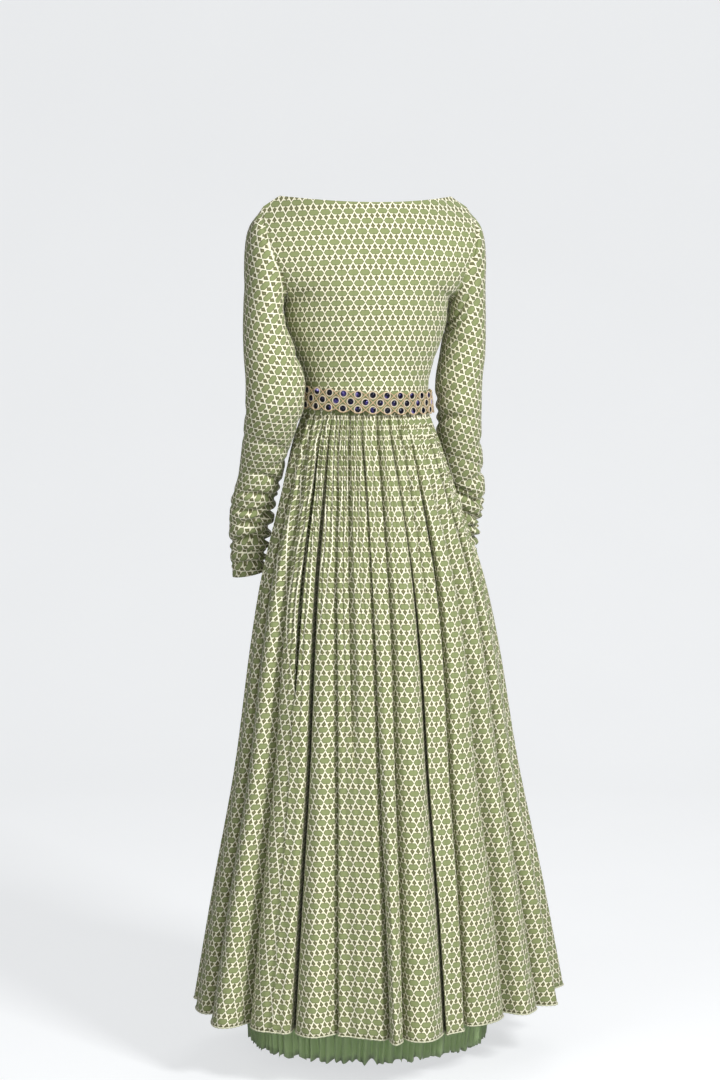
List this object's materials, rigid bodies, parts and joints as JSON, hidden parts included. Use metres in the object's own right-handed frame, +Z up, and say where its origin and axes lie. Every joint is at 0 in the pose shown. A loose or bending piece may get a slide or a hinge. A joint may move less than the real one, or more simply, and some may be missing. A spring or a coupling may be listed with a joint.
{
  "type": "anarkali gown",
  "caption": "Long-sleeved anarkali gown as worn: fitted boat-neck bodice, ornamented waist belt, full gathered skirt and a net underskirt showing below the hem.",
  "frame": {"origin": "midway between the wearer's shoulders at the height of the neckline", "axes": "+Z up along the gown, +Y towards the wearer's back, +X towards the wearer's left"},
  "size_m": [0.6689, 0.6286, 1.4501],
  "materials": {
    "print": "matte printed cotton",
    "net": "fine green net",
    "belt_band": "gold cord embroidery on pale cloth"
  },
  "bodies": {
    "root": {"bodice_back": "print", "bodice_front": "print", "sleeve_left": "print", "sleeve_right": "print", "skirt_back": "print", "skirt_right": "print", "skirt_front": "print", "skirt_left": "print", "net_back_left": "net", "net_back_right": "net", "net_front_right": "net", "net_front_left": "net", "belt_band": "belt_band"}
  },
  "joints": []
}
